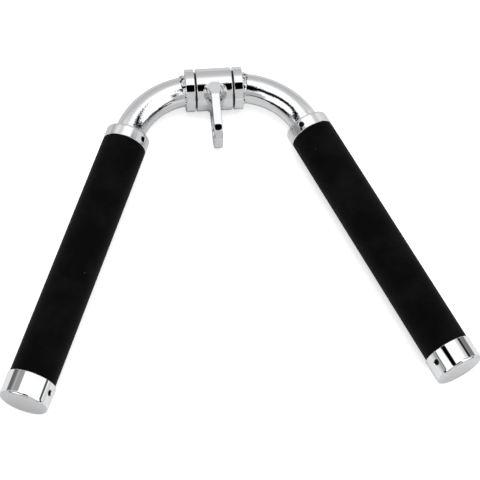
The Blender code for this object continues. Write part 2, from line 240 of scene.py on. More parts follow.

# The metal mirrors a table with painted shade: grey round the hub, between the arms and in front of
# the caps, and pale beside the arms. Each edge of the pale part is a pair: where it begins to show and
# where it is full. Start and end are measured from the origin in the arms' direction, and the side
# from the middle line.
TABLE_SIZE = 6.0
ARM_ANGLE = radians(22.5)
PALE_START = -0.07, -0.045
PALE_END = 0.196, 0.188
PALE_SIDE = 0.03, 0.05
PALE_PART = "FAFAFA"
# The rest is painted shade, a little greyer on the left of the middle line than on its right
LEFT_PAINTED_SHADE = "D8D8D8"
RIGHT_PAINTED_SHADE = "E4E4E4"
RIGHT_HALF = -0.03, 0.03
# The camera sees white, with a glow that brings the lit table up to pure white
SEEN_COLOUR = "FFFFFF"
SEEN_GLOW = 0.56
table_material, tree = new_material("white_table")
ray = add_node(tree, "ShaderNodeLightPath")
place = add_node(tree, "ShaderNodeSeparateXYZ",
                 {0: add_node(tree, "ShaderNodeTexCoord").outputs["Object"]})
aside = add_node(tree, "ShaderNodeMath", {0: place.outputs["X"]}, operation="ABSOLUTE").outputs[0]
folded = add_node(tree, "ShaderNodeCombineXYZ", {"X": aside, "Y": place.outputs["Y"]}).outputs[0]
down_arm = add_node(tree, "ShaderNodeVectorMath", {0: folded, 1: (sin(ARM_ANGLE), -cos(ARM_ANGLE), 0)},
                    operation="DOT_PRODUCT").outputs["Value"]
# The pale share: where the table in the metal has no painted shade
pale = 1.0
for distance, (faint, full) in ((down_arm, PALE_START), (down_arm, PALE_END), (aside, PALE_SIDE)):
    inside = add_node(tree, "ShaderNodeMapRange", {"Value": distance, "From Min": faint, "From Max": full},
                      interpolation_type="SMOOTHSTEP").outputs[0]
    pale = add_node(tree, "ShaderNodeMath", {0: pale, 1: inside}, operation="MULTIPLY").outputs[0]
to_the_right = add_node(tree, "ShaderNodeMapRange",
                        {"Value": place.outputs["X"], "From Min": RIGHT_HALF[0],
                         "From Max": RIGHT_HALF[1]},
                        interpolation_type="SMOOTHSTEP").outputs[0]
# Painted shade in the metal: greyer to the left, and pale only beside the arms; the camera sees white
shade = add_node(tree, "ShaderNodeMix", {0: to_the_right, 6: linear(LEFT_PAINTED_SHADE), 7: linear(RIGHT_PAINTED_SHADE)},
                 data_type="RGBA").outputs[2]
shade = add_node(tree, "ShaderNodeMix", {0: pale, 6: shade, 7: linear(PALE_PART)},
                 data_type="RGBA").outputs[2]
shade = add_node(tree, "ShaderNodeMix",
                 {0: ray.outputs["Is Camera Ray"], 6: shade, 7: linear(SEEN_COLOUR)},
                 data_type="RGBA").outputs[2]
matte = add_node(tree, "ShaderNodeBsdfDiffuse", {"Color": shade})
seen = add_node(tree, "ShaderNodeMath", {0: ray.outputs["Is Camera Ray"], 1: SEEN_GLOW},
                operation="MULTIPLY")
glow = add_node(tree, "ShaderNodeEmission", {"Color": (1, 1, 1, 1), "Strength": seen.outputs[0]})
both = add_node(tree, "ShaderNodeAddShader", {0: matte.outputs[0], 1: glow.outputs[0]})
add_node(tree, "ShaderNodeOutputMaterial", {"Surface": both.outputs[0]})
mesh = bpy.data.meshes.new("table")
half = TABLE_SIZE / 2
mesh.from_pydata([(-half, -half, 0), (half, -half, 0), (half, half, 0), (-half, half, 0)],
                 [], [(0, 1, 2, 3)])
mesh.materials.append(table_material)
table = bpy.data.objects.new("table", mesh)
bpy.context.scene.collection.objects.link(table)

# Bent bar: one solid steel rod with a straight middle, a bend at each side of it and two straight
# arms, polished and chrome-plated. Its ends are hidden inside the end caps.
# Points nearer to each other than this are one point
SAME_POINT = 2e-6


def rounded_profile(corners, arc_steps=6):
    """A closed outline (radius, height) from corners (radius, height, rounding), anticlockwise.

    A rounded corner is an arc that touches both of its sides: its middle plus the rounding times
    a direction that turns evenly from one side's normal to the other's. A point a quarter of the
    rounding further along each side keeps the flat beside the arc shaded flat.
    """
    points = []
    places = np.array([corner[:2] for corner in corners])
    for i, (place, (_, _, rounding)) in enumerate(zip(places, corners)):
        if not rounding:
            points.append(place[None])
            continue
        before = places[i - 1] - place
        after = places[(i + 1) % len(places)] - place
        before /= np.linalg.norm(before)
        after /= np.linalg.norm(after)
        half_angle = np.arccos(np.clip(before @ after, -1, 1)) / 2
        touch = rounding / np.tan(half_angle)
        middle = place + (before + after) / np.linalg.norm(before + after) * rounding / np.sin(half_angle)
        start = place + before * touch - middle
        end = place + after * touch - middle
        turn = pi - 2 * half_angle
        share = np.linspace(0, 1, arc_steps + 1)[:, None]
        arc = (np.sin((1 - share) * turn) * start + np.sin(share * turn) * end) / np.sin(turn)
        hold = rounding / 4
        points.append(np.concatenate([[place + before * (touch + hold)], middle + arc,
                                      [place + after * (touch + hold)]]))
    return np.concatenate(points)


def turned(profile, turns=192, start=0.0, sweep=tau):
    """The profile carried round its Z axis: (radius cos a, radius sin a, height) for each angle a."""
    angle = start + sweep * np.linspace(0, 1, turns + 1)[:, None]
    radius, height = profile.T
    height = np.broadcast_to(height, (turns + 1, len(height)))
    return np.stack([radius * np.cos(angle), radius * np.sin(angle), height], -1)


def closed(profile):
    """The profile with its first point again at its end."""
    return np.concatenate([profile, profile[:1]])


def placed(grid, origin, along, up=(0, 0, 1)):
    """A grid of points turned so that its Z runs along a direction and its Y up, then moved."""
    axes = np.array([np.cross(up, along), up, along])
    return np.asarray(origin) + grid @ axes


def grid_mesh(name, grids, material, sharp=40):
    """One mesh from grids of points, each (rows, columns, 3). Edges over sharp degrees stay sharp.

    A face joins the points (i, j), (i + 1, j), (i + 1, j + 1) and (i, j + 1), and it looks along
    the row direction crossed with the column direction. Points that meet are merged.
    """
    points = []
    faces = []
    count = 0
    for grid in grids:
        rows, columns = grid.shape[:2]
        corner = np.arange(count, count + rows * columns).reshape(rows, columns)
        cells = [corner[:-1, :-1], corner[1:, :-1], corner[1:, 1:], corner[:-1, 1:]]
        faces.append(np.stack(cells, -1).reshape(-1, 4))
        points.append(grid.reshape(-1, 3))
        count += rows * columns
    mesh = bpy.data.meshes.new(name)
    mesh.from_pydata(np.concatenate(points).tolist(), [], np.concatenate(faces).tolist())
    shape = bmesh.new()
    shape.from_mesh(mesh)
    bmesh.ops.remove_doubles(shape, verts=shape.verts, dist=SAME_POINT)
    bmesh.ops.delete(shape, geom=[edge for edge in shape.edges if edge.is_wire], context="EDGES")
    shape.to_mesh(mesh)
    shape.free()
    mesh.materials.append(material)
    mesh.shade_smooth()
    mesh.set_sharp_from_angle(angle=radians(sharp))
    piece = bpy.data.objects.new(name, mesh)
    bpy.context.scene.collection.objects.link(piece)
    return piece


# Chrome plate over polished steel: a clear cool mirror, very slightly rippled where the steel was
# bent or ground before plating, so straight reflections have uneven edges. A rough weld keeps small
# dark pits: they begin where a noise passes the rim's value, and are full where it passes the floor's.
PIT_RIM = 0.53
PIT_FLOOR = 0.57
PIT_COLOUR = "141414"


def plated(name, roughness, ripple_size, ripple_height, pit_size=0.0, colour="F0F1F3"):
    """Bright chrome. The ripple's size and height and the pits' size, if any, are in metres.

    A pit is an eighth as deep as it is wide.
    """
    material, tree = new_material(name)
    place = add_node(tree, "ShaderNodeTexCoord").outputs["Object"]
    ripple = add_node(tree, "ShaderNodeTexNoise",
                      {"Vector": place, "Scale": 1 / ripple_size, "Detail": 2.0, "Roughness": 0.6})
    bump = add_node(tree, "ShaderNodeBump",
                    {"Strength": 1.0, "Distance": ripple_height, "Height": ripple.outputs[0]})
    surface = linear(colour)
    if pit_size:
        noise = add_node(tree, "ShaderNodeTexNoise",
                         {"Vector": place, "Scale": 1 / pit_size, "Detail": 1.0})
        pits = add_node(tree, "ShaderNodeMapRange",
                        {"Value": noise.outputs[0], "From Min": PIT_RIM, "From Max": PIT_FLOOR})
        bump = add_node(tree, "ShaderNodeBump",
                        {"Strength": 1.0, "Distance": -pit_size / 8, "Height": pits.outputs[0],
                         "Normal": bump.outputs[0]})
        surface = add_node(tree, "ShaderNodeMix",
                           {0: pits.outputs[0], 6: surface, 7: linear(PIT_COLOUR)},
                           data_type="RGBA").outputs[2]
    shader = add_node(tree, "ShaderNodeBsdfPrincipled",
                      {"Base Color": surface, "Metallic": 1.0, "Roughness": roughness,
                       "Normal": bump.outputs[0]})
    add_node(tree, "ShaderNodeOutputMaterial", {"Surface": shader.outputs[0]})
    return material


def outer_radius(node):
    """Half the height of a node's box, which is the outer radius of a round piece."""
    low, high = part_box(node)
    return (high.z - low.z) / 2


BEND_RADIUS = 0.062
BAR_END_BEHIND_CAP_END = 0.0053
CAP_END = 0.2481
BAR_RINGS = 601
bend_turn = pi / 2 - ARM_ANGLE
bar_r = outer_radius("bent_bar")
collar_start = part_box("right_retaining_collar")[0].x


def bar_line(distance):
    """The bar's middle line and its direction, by the distance along it from the hub's middle.

    It is straight to the retaining collar, then an arc of the bend's radius, then straight again.
    """
    far = np.abs(distance)
    side = np.sign(distance)
    turn = np.clip((far - collar_start) / BEND_RADIUS, 0, bend_turn)
    arm = np.clip(far - collar_start - bend_turn * BEND_RADIUS, 0, None)
    inner = np.minimum(far, collar_start)
    x = side * (inner + BEND_RADIUS * np.sin(turn) + arm * sin(ARM_ANGLE))
    y = -BEND_RADIUS * (1 - np.cos(turn)) - arm * cos(ARM_ANGLE)
    points = np.stack([x, y, np.zeros_like(x)], -1) + swivel_axis
    direction = np.stack([np.cos(turn), -side * np.sin(turn), np.zeros_like(x)], -1)
    return points, direction


def swept(points, direction, radius, sides=128):
    """Rings round a line: the line's point plus radius times (side cos a + up sin a).

    The radius is a table with a row for each ring: one value, or one for each point of the ring.
    """
    up = np.array([0.0, 0.0, 1.0])
    side = np.cross(direction, up)
    angle = tau * np.linspace(0, 1, sides + 1)[None, :, None]
    ring = np.cos(angle) * side[:, None] + np.sin(angle) * up
    return points[:, None] + radius[..., None] * ring


# The first and the last ring have no radius, and close the rod's ends
bar_half = collar_start + bend_turn * BEND_RADIUS + CAP_END - BAR_END_BEHIND_CAP_END
distance = np.concatenate([[-bar_half], np.linspace(-bar_half, bar_half, BAR_RINGS), [bar_half]])
radius = np.full((len(distance), 1), bar_r)
radius[[0, -1]] = 0
bar_chrome = plated("chrome_on_bent_steel", roughness=0.04, ripple_size=0.0015, ripple_height=0.00007)
bar = grid_mesh("polished_bar", [swept(*bar_line(distance), radius)], bar_chrome)
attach(bar, "bar")
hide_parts("bent_bar")

# Retaining collars: turned steel rings pressed against the swivel and welded to the bar on their
# outer side, then plated with it.
SIDES = {"left": -1, "right": 1}
COLLAR_EDGE = 0.0005
COLLAR_BORE_GAP = 0.0008
collar_r = outer_radius("right_retaining_collar")
collar_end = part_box("right_retaining_collar")[1].x
collar_bore_r = bar_r + COLLAR_BORE_GAP
profile = closed(rounded_profile([(collar_r, collar_start, COLLAR_EDGE),
                                  (collar_r, collar_end, COLLAR_EDGE),
                                  (collar_bore_r, collar_end, 0), (collar_bore_r, collar_start, 0)]))
turned_chrome = plated("chrome_on_turned_steel", roughness=0.035, ripple_size=0.0018,
                       ripple_height=0.000012)
for name, side in SIDES.items():
    collar = grid_mesh(name + "_collar_ring", [placed(turned(profile), swivel_axis, (side, 0, 0))],
                       turned_chrome)
    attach(collar, "bar")
    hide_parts(name + "_retaining_collar")


# Collar welds: a low rough bead all round the bar in the corner at each collar's outer face. It was
# ground only lightly before plating, so its lumps and pits show through the chrome.
def lumps(u, v, seed, waves=24, low=2, high=14, steepest=3):
    """An uneven height between about -1 and 1: sines of seeded direction and phase, summed.

    u and v run from 0 to 1 and are closed, so they take only whole numbers of waves.
    """
    random = np.random.default_rng(seed)
    height = np.zeros(np.broadcast(u, v).shape)
    for _ in range(waves):
        along = random.integers(low, high)
        across = random.integers(-steepest, steepest + 1)
        phase = random.uniform(0, tau)
        height = height + np.sin(tau * (along * u + across * v) + phase) / along ** 0.5
    return height / np.abs(height).max()


def bell(share):
    """1 at share 0, falling smoothly to 0 at share 1: half of one plus the cosine of half a turn."""
    return (1 + np.cos(pi * np.clip(share, 0, 1))) / 2


COLLAR_BEAD_HEIGHT = 0.0012
COLLAR_BEAD_WIDTH = 0.0046
BEAD_SINK = 0.00005
BEAD_DEPTH = 0.0006
BEAD_RINGS = 24
BEAD_TURNS = 512
# The large and the small lumps are shares of the bead's height, and the grain is in metres. The grain
# fades out over the bead's outer half.
LARGE_LUMPS = 0.25
SMALL_LUMPS = 0.2
GRAIN_HEIGHT = 0.00022
FINE_WAVES = {"waves": 40, "low": 24, "high": 70, "steepest": 4}
LARGE_SEED, SMALL_SEED, GRAIN_SEED = 11, 31, 51
# The share runs across the bead from the collar outwards, and the turn once round it
share = np.linspace(0, 1, BEAD_RINGS + 1)[:, None]
turn = np.linspace(0, 1, BEAD_TURNS + 1)[None]
rough_weld_chrome = plated("chrome_on_rough_weld", roughness=0.07, ripple_size=0.0012,
                           ripple_height=0.00008, pit_size=0.0022)
for seed, (name, side) in enumerate(SIDES.items()):
    uneven = LARGE_LUMPS * lumps(turn, share, LARGE_SEED + seed)
    uneven = uneven + SMALL_LUMPS * lumps(turn, share, SMALL_SEED + seed, **FINE_WAVES)
    grain = GRAIN_HEIGHT * lumps(turn, share, GRAIN_SEED + seed, **FINE_WAVES)
    top = bar_r + COLLAR_BEAD_HEIGHT * bell(share) * (1 + uneven) + BEAD_SINK * (bell(share) - 1)
    top = top + grain * bell(2 * share - 1)
    under = np.broadcast_to(bar_r - BEAD_DEPTH, (1, BEAD_TURNS + 1))
    radius = np.concatenate([top, under, under, top[:1]])
    reach = collar_end + COLLAR_BEAD_WIDTH * np.concatenate([share[:, 0], [1, 0, 0]])
    if side < 0:
        radius, reach = radius[::-1], -reach[::-1]
    weld = grid_mesh(name + "_collar_bead", [swept(*bar_line(reach), radius, BEAD_TURNS)],
                     rough_weld_chrome, sharp=180)
    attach(weld, "bar")
    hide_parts(name + "_collar_weld")

# Swivel sleeve: a short turned steel tube, chrome-plated, with the eye's lug welded to it. It spins
# on two nylon bushings between the collars.
SLEEVE_EDGE = 0.0006
SLEEVE_BORE_R = 0.0141
SLEEVE_BORE_EDGE = 0.0002
low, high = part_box("swivel_sleeve")
sleeve_half = (high.x - low.x) / 2
sleeve_r = outer_radius("swivel_sleeve")
profile = closed(rounded_profile([(sleeve_r, -sleeve_half, SLEEVE_EDGE),
                                  (sleeve_r, sleeve_half, SLEEVE_EDGE),
                                  (SLEEVE_BORE_R, sleeve_half, SLEEVE_BORE_EDGE),
                                  (SLEEVE_BORE_R, -sleeve_half, SLEEVE_BORE_EDGE)]))
sleeve_chrome = plated("chrome_on_sleeve", roughness=0.04, ripple_size=0.0014, ripple_height=0.00005)
sleeve = grid_mesh("plated_sleeve", [placed(turned(profile), swivel_axis, (1, 0, 0))], sleeve_chrome)
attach(sleeve, "swivel")
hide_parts("swivel_sleeve")

# Bushings: flanged nylon sleeves, moulded black. Only their flanges' rims show, in the two gaps.
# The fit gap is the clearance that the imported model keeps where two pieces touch.
FIT_GAP = 0.0003
FLANGE = 0.0008
BARREL_R = 0.0138
BUSHING_EDGE = 0.0001
NYLON_GRAIN = 0.00025
FINE_GRAIN_DEPTH = 0.00002


def fine_grained(name, grain_size, surface):
    """A plain surface with a faint grain, its size in metres. Surface holds the shader's own values."""
    material, tree = new_material(name)
    place = add_node(tree, "ShaderNodeTexCoord").outputs["Object"]
    grain = add_node(tree, "ShaderNodeTexNoise",
                     {"Vector": place, "Scale": 1 / grain_size, "Detail": 2.0})
    bump = add_node(tree, "ShaderNodeBump",
                    {"Strength": 0.3, "Distance": FINE_GRAIN_DEPTH, "Height": grain.outputs[0]})
    shader = add_node(tree, "ShaderNodeBsdfPrincipled", {**surface, "Normal": bump.outputs[0]})
    add_node(tree, "ShaderNodeOutputMaterial", {"Surface": shader.outputs[0]})
    return material


# Moulded nylon: black and half matt. The mould's grain is drawn coarser than it is, so that it shows.
nylon = fine_grained("moulded_nylon", NYLON_GRAIN,
                     {"Base Color": linear("161616"), "Roughness": 0.45, "IOR": 1.53})
bore_r = bar_r + FIT_GAP
for name, side in SIDES.items():
    low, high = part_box(name + "_bushing")
    flange_r = outer_radius(name + "_bushing")
    flange_end = max(abs(low.x), abs(high.x))
    flange_start = flange_end - FLANGE
    barrel_end = min(abs(low.x), abs(high.x))
    profile = closed(rounded_profile([(flange_r, flange_start, BUSHING_EDGE),
                                      (flange_r, flange_end, BUSHING_EDGE),
                                      (bore_r, flange_end, BUSHING_EDGE),
                                      (bore_r, barrel_end, BUSHING_EDGE),
                                      (BARREL_R, barrel_end, BUSHING_EDGE),
                                      (BARREL_R, flange_start, 0)], 2))
    bushing = grid_mesh(name + "_flanged_bushing",
                        [placed(turned(profile), swivel_axis, (side, 0, 0))], nylon)
    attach(bushing, "swivel")
    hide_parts(name + "_bushing")

# Eye lug: a flat bar of steel with a round end and a drilled eye, its root cut to the sleeve's
# curve, welded on and plated. At rest it hangs until its tip is just above the table.
LUG_THICKNESS = 0.007
LUG_HALF = 0.0162
LUG_REACH = 0.037
EYE_R = 0.0095
LUG_EDGE = 0.0006
LUG_FLOOR_GAP = 0.0002
lug_drop = asin((swivel_axis[2] - LUG_HALF - LUG_FLOOR_GAP) / LUG_REACH)
lug_along = np.array([0, -cos(lug_drop), -sin(lug_drop)])
lug_up = np.array([0, -sin(lug_drop), cos(lug_drop)])


def lug_outline(steps=48):
    """The lug seen flat, from the eye's middle: its outer points and outward directions.

    Anticlockwise from the lower root corner: lower side, round end, upper side, curved root.
    """
    root_r = sleeve_r + FIT_GAP
    corner_angle = asin(LUG_HALF / root_r)
    share = np.linspace(0, 1, steps, endpoint=False)
    root_x = root_r * cos(corner_angle)
    zero = np.zeros(steps)
    lower = np.stack([root_x + (LUG_REACH - root_x) * share, zero - LUG_HALF], -1)
    turn = pi * (share - 0.5)
    end = np.stack([LUG_REACH + LUG_HALF * np.cos(turn), LUG_HALF * np.sin(turn)], -1)
    upper = np.stack([LUG_REACH + (root_x - LUG_REACH) * share, zero + LUG_HALF], -1)
    sweep = corner_angle * (1 - 2 * share)
    root = root_r * np.stack([np.cos(sweep), np.sin(sweep)], -1)
    outer = np.concatenate([lower, end, upper, root])
    normal = np.concatenate([np.stack([zero, zero - 1], -1), np.stack([np.cos(turn), np.sin(turn)], -1),
                             np.stack([zero, zero + 1], -1), -np.stack([np.cos(sweep), np.sin(sweep)], -1)])
    return outer, normal


# The grid's columns run over the outer rounded edge, the flat and the eye's rounded edge, then back
# on the other side. A column is the lug's outline drawn in towards the eye, at one height.
outer, normal = (closed(line) for line in lug_outline())
eye_middle = np.array([LUG_REACH, 0])
spoke = outer - eye_middle
spoke /= np.linalg.norm(spoke, axis=1)[:, None]
half = LUG_THICKNESS / 2
quarter = pi / 2 * np.linspace(0, 1, 6)
columns = []
for depth, height in zip(LUG_EDGE * (1 - np.cos(quarter)), half - LUG_EDGE + LUG_EDGE * np.sin(quarter)):
    columns.append((outer - normal * depth, height))
inner_rim = eye_middle + spoke * (EYE_R + LUG_EDGE)
outer_rim = outer - normal * LUG_EDGE
for share in (0.02, 0.25, 0.5, 0.75, 0.98):
    columns.append((outer_rim * (1 - share) + inner_rim * share, half))
for depth, height in zip(LUG_EDGE * (1 - np.sin(quarter)), half - LUG_EDGE + LUG_EDGE * np.cos(quarter)):
    columns.append((eye_middle + spoke * (EYE_R + depth), height))
columns += [(flat, -height) for flat, height in reversed(columns)]
columns.append(columns[0])
columns.reverse()
grid = np.stack([np.concatenate([np.full((len(flat), 1), height), flat], 1) for flat, height in columns], 1)
lug_axes = np.array([[1, 0, 0], lug_along, lug_up])
lug_chrome = plated("chrome_on_lug", roughness=0.04, ripple_size=0.0018, ripple_height=0.000012,
                    colour="E8E9EB")
lug = grid_mesh("plated_lug", [swivel_axis + grid @ lug_axes], lug_chrome)
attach(lug, "swivel")
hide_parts("eye_lug")

# Lug weld: a bead all round the lug's root. Over the lug's upper edge it is built up into a smooth
# hood, which slopes from the top of the sleeve down to that edge and narrows to the lug's width.
# A pair of sizes goes from the first one low on the sleeve to the second one near its top.
LUG_BEAD_WIDTH = 0.003, 0.0064
LUG_BEAD_HEIGHT = 0.0024, 0.0011
LUG_BEAD_ROWS = 129
LUG_BEAD_COLUMNS = 289
LUG_LUMPS = 0.07
LUG_LUMPS_SEED = 5
# The bead has no lumps this near to the plate, and left of the plate its ridge is lower by twice
# the lean
EVEN_WIDTH = 0.001
RIDGE_LEAN = 0.2
RIDGE_LEAN_WIDTH = 0.001
# Over this share of its width the bead's rim rises from just under the sleeve's surface to just over
RIM_SHARE = 0.1
HOOD_SLOPE = radians(9.5)
HOOD_STEP = 0.0005
HOOD_OVERHANG = 0.0021
HOOD_SOFTNESS = 0.0002, 0.0009
BURIED = 0.0003
# These only keep a size from vanishing where nothing shows: a share of a width, radians, and a sine
LEAST_WIDTH = 0.02
LEAST_ANGLE = 0.2
LEAST_SINE = 0.01
# Angles round the sleeve, in degrees above the lug's direction: the hood's end, the end of its lip,
# and where each change starts and ends
HOOD_END = 82.7
HOOD_LIP_END = 84.2
BEAD_SPREADS = 15, 50
BEAD_NARROWS = 62, 80
BEAD_LOWERS = 64, 80
RIDGE_FORMS = 45, 58
HOOD_RISES = 28, 36
HOOD_STEPS_OUT = 38, 45
HOOD_SPREADS = 54, 66
HOOD_NARROWS = 68, HOOD_END
edge_angle = asin(LUG_HALF / sleeve_r)
reach_x = LUG_THICKNESS / 2 + LUG_BEAD_WIDTH[1]
x = np.linspace(-reach_x, reach_x, LUG_BEAD_ROWS)[:, None]
angle = np.linspace(-edge_angle - LUG_BEAD_WIDTH[1] / sleeve_r, radians(HOOD_LIP_END),
                    LUG_BEAD_COLUMNS)[None]


def risen(start, end):
    """At each angle of the bead's grid: 0 up to the start, rising smoothly to 1 at the end."""
    return 1 - bell((angle - radians(start)) / radians(end - start))


def narrowing(start, end):
    """At each angle of the bead's grid: 1 up to the start, then a quarter of an ellipse, almost to 0."""
    past = np.clip((angle - radians(start)) / radians(end - start), 0, 1)
    return np.sqrt(np.maximum(1 - past ** 2, LEAST_WIDTH ** 2))


def blend(sizes, share):
    """From the first size at share 0 to the second at share 1."""
    return sizes[0] + (sizes[1] - sizes[0]) * share


# The bead: its height falls with the share of its width that lies between a point and the plate
width = blend(LUG_BEAD_WIDTH, risen(*BEAD_SPREADS)) * narrowing(*BEAD_NARROWS)
away = np.hypot(np.maximum(np.abs(x) - LUG_THICKNESS / 2, 0),
                np.maximum(-angle - edge_angle, 0) * sleeve_r)
past_hood = np.clip((angle - radians(HOOD_END)) / radians(HOOD_LIP_END - HOOD_END), 0, 1)
share_out = np.maximum(np.clip(away / width, 0, 1), past_hood)
ridge = risen(*RIDGE_FORMS)
fall = ridge * bell(np.abs(share_out - 0.5) / 0.5) + (1 - ridge) * (1 - share_out) ** 2
fall = fall * (1 - RIDGE_LEAN * ridge * (1 - np.tanh(x / RIDGE_LEAN_WIDTH)))
share_x = (x + reach_x) / (2 * reach_x)
share_angle = (angle - angle.min()) / (angle.max() - angle.min())
uneven = LUG_LUMPS * lumps(share_angle, share_x, LUG_LUMPS_SEED, high=12) * np.clip(away / EVEN_WIDTH, 0, 1)
bead = blend(LUG_BEAD_HEIGHT, risen(*BEAD_SPREADS)) * (1 - risen(*BEAD_LOWERS)) * fall * (1 + uneven)

# The hood's crest is a straight line: its radius at each angle, and how far it stands out
crest = (sin(radians(HOOD_END)) + np.tan(HOOD_SLOPE) * cos(radians(HOOD_END))) * sleeve_r
crest = crest / (np.sin(np.maximum(angle, LEAST_ANGLE)) + np.tan(HOOD_SLOPE) * np.cos(angle))
half_hood = LUG_THICKNESS / 2 - BURIED + HOOD_STEP * risen(*HOOD_STEPS_OUT)
half_hood = (half_hood + HOOD_OVERHANG * risen(*HOOD_SPREADS)) * narrowing(*HOOD_NARROWS)
soft = blend(HOOD_SOFTNESS, risen(*HOOD_SPREADS))
beside = bell((np.abs(x) - half_hood + soft) / (2 * soft))
hood = np.maximum(crest - sleeve_r, 0) * risen(*HOOD_RISES) * beside

# Where the bead faces down, its radius ends just above the table. Its underside lies in the sleeve.
skin = 2 * np.clip((1 - share_out) / RIM_SHARE, 0, 1) - 1
top = sleeve_r + np.maximum(bead, hood) + BEAD_SINK * skin
clear_height = swivel_axis[2] - LUG_FLOOR_GAP
top = np.minimum(top, clear_height / np.maximum(np.sin(lug_drop - angle), LEAST_SINE))
under = sleeve_r - BEAD_SINK - (BEAD_DEPTH - BEAD_SINK) * (1 - (x / reach_x) ** 8) + 0 * angle
radius = np.concatenate([top, under[:, ::-1], top[:, :1]], 1)
loop = np.concatenate([angle, angle[:, ::-1], angle[:, :1]], 1)[..., None]
outward = np.cos(loop) * lug_along + np.sin(loop) * lug_up
grid = swivel_axis + x[..., None] * (1, 0, 0) + radius[..., None] * outward
weld_chrome = plated("chrome_on_smooth_weld", roughness=0.2, ripple_size=0.0016, ripple_height=0.00003,
                     colour="CBCCCE")
weld = grid_mesh("lug_bead", [grid], weld_chrome, sharp=180)
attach(weld, "swivel")
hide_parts("lug_weld")

# Grip collars and end caps: turned steel, plated, each held on the bar by one set screw in a
# drilled hole. The collars have a round shoulder towards the bend, and the caps close the ends.
# Places along the arm are measured from the bend's end.
COLLAR_NEAR = 0.0015
COLLAR_FAR = 0.0125
COLLAR_SHOULDER = 0.0018
CAP_NEAR = 0.2281
CAP_FLOOR = 0.2431
CAP_SHOULDER = 0.0026
RIM = 0.0004
HOLE_R = 0.0023
HOLE_CHAMFER = 0.0005
PATCH_HALF = 0.0034
PATCH_CELLS = 9
TURNS = 216
SAME_RADIUS = 1e-7
# How far each screw is turned from straight up towards the space between the arms, in degrees
SCREW_TURN = {"left_grip_collar": 54, "right_grip_collar": 30, "left_end_cap": 68, "right_end_cap": 60}
bend_end = collar_start + bend_turn * BEND_RADIUS


def arm_line(side):
    """The end of the bend on one side, and the direction that the arm takes from there."""
    points, direction = bar_line(np.array([side * bend_end]))
    return points[0], direction[0] * side


def drilled(profile, outer_r, hole_angle, hole_height):
    """A turned piece with a round hole through its wall, as grids.

    Its outer wall has the radius outer_r, and its bore the radius bore_r that fits the bar. The
    turned grid leaves out a patch round the hole. There, rings of points run from the patch's rim to
    the hole: each lies on the cylinder, at a share of the way in angle and in height.
    """
    patch_half = tau * PATCH_CELLS / TURNS
    low, high = hole_height - PATCH_HALF, hole_height + PATCH_HALF
    radius, height = profile.T
    first = np.argmax((np.abs(radius - outer_r) < SAME_RADIUS) & (height > high))
    profile = np.roll(profile, -first, 0)
    radius, height = profile.T
    on_bore = np.abs(radius - bore_r) < SAME_RADIUS
    upper = profile[:np.flatnonzero(on_bore & (height > high))[-1] + 1]
    lower = profile[np.flatnonzero(on_bore & (height < low))[0]:]
    steps = np.linspace(low, high, 2 * PATCH_CELLS + 1)
    outer_side = np.stack([np.full_like(steps, outer_r), steps], -1)
    bore_side = np.stack([np.full_like(steps, bore_r), steps[::-1]], -1)
    whole = closed(np.concatenate([outer_side, upper, bore_side, lower]))
    top = np.concatenate([outer_side[-1:], upper, bore_side[:1]])
    bottom = np.concatenate([bore_side[-1:], lower, outer_side[:1]])
    start = hole_angle - patch_half
    grids = [turned(whole, TURNS - 2 * PATCH_CELLS, hole_angle + patch_half, tau - 2 * patch_half),
             turned(top, 2 * PATCH_CELLS, start, 2 * patch_half),
             turned(bottom, 2 * PATCH_CELLS, start, 2 * patch_half)]
    across = np.linspace(-1, 1, 2 * PATCH_CELLS + 1)[:-1]
    ones = np.ones_like(across)
    rim = np.concatenate([np.stack([ones, across], -1), np.stack([-across, ones], -1),
                          np.stack([-ones, -across], -1), np.stack([across, -ones], -1), [[1, -1]]])
    rim = rim * (patch_half, PATCH_HALF)
    turn = np.arctan2(rim[:, 1], rim[:, 0] * outer_r)

    def ring(hole_r, wall_r):
        """The hole's rim on a wall, from the hole's middle: (arcsin of x / wall radius, height)."""
        return np.stack([np.arcsin(hole_r * np.cos(turn) / wall_r), hole_r * np.sin(turn)], -1)

    def on_wall(flat, wall_r):
        """Points (angle, height), counted from the hole's middle, on a wall of that radius."""
        angle = hole_angle + flat[..., 0]
        return np.stack([wall_r * np.cos(angle), wall_r * np.sin(angle), hole_height + flat[..., 1]], -1)

    shares = np.array([0, 0.2, 0.4, 0.6, 0.8, 0.95, 1])[:, None, None]
    wide = HOLE_R + HOLE_CHAMFER
    grids.append(on_wall((1 - shares) * rim + shares * ring(wide, outer_r), outer_r)[::-1])
    grids.append(on_wall((1 - shares) * rim + shares * ring(HOLE_R, bore_r), bore_r))
    sunk = outer_r - HOLE_CHAMFER
    grids.append(np.stack([on_wall(ring(HOLE_R, bore_r), bore_r), on_wall(ring(HOLE_R, sunk), sunk),
                           on_wall(ring(wide, outer_r), outer_r)]))
    return grids


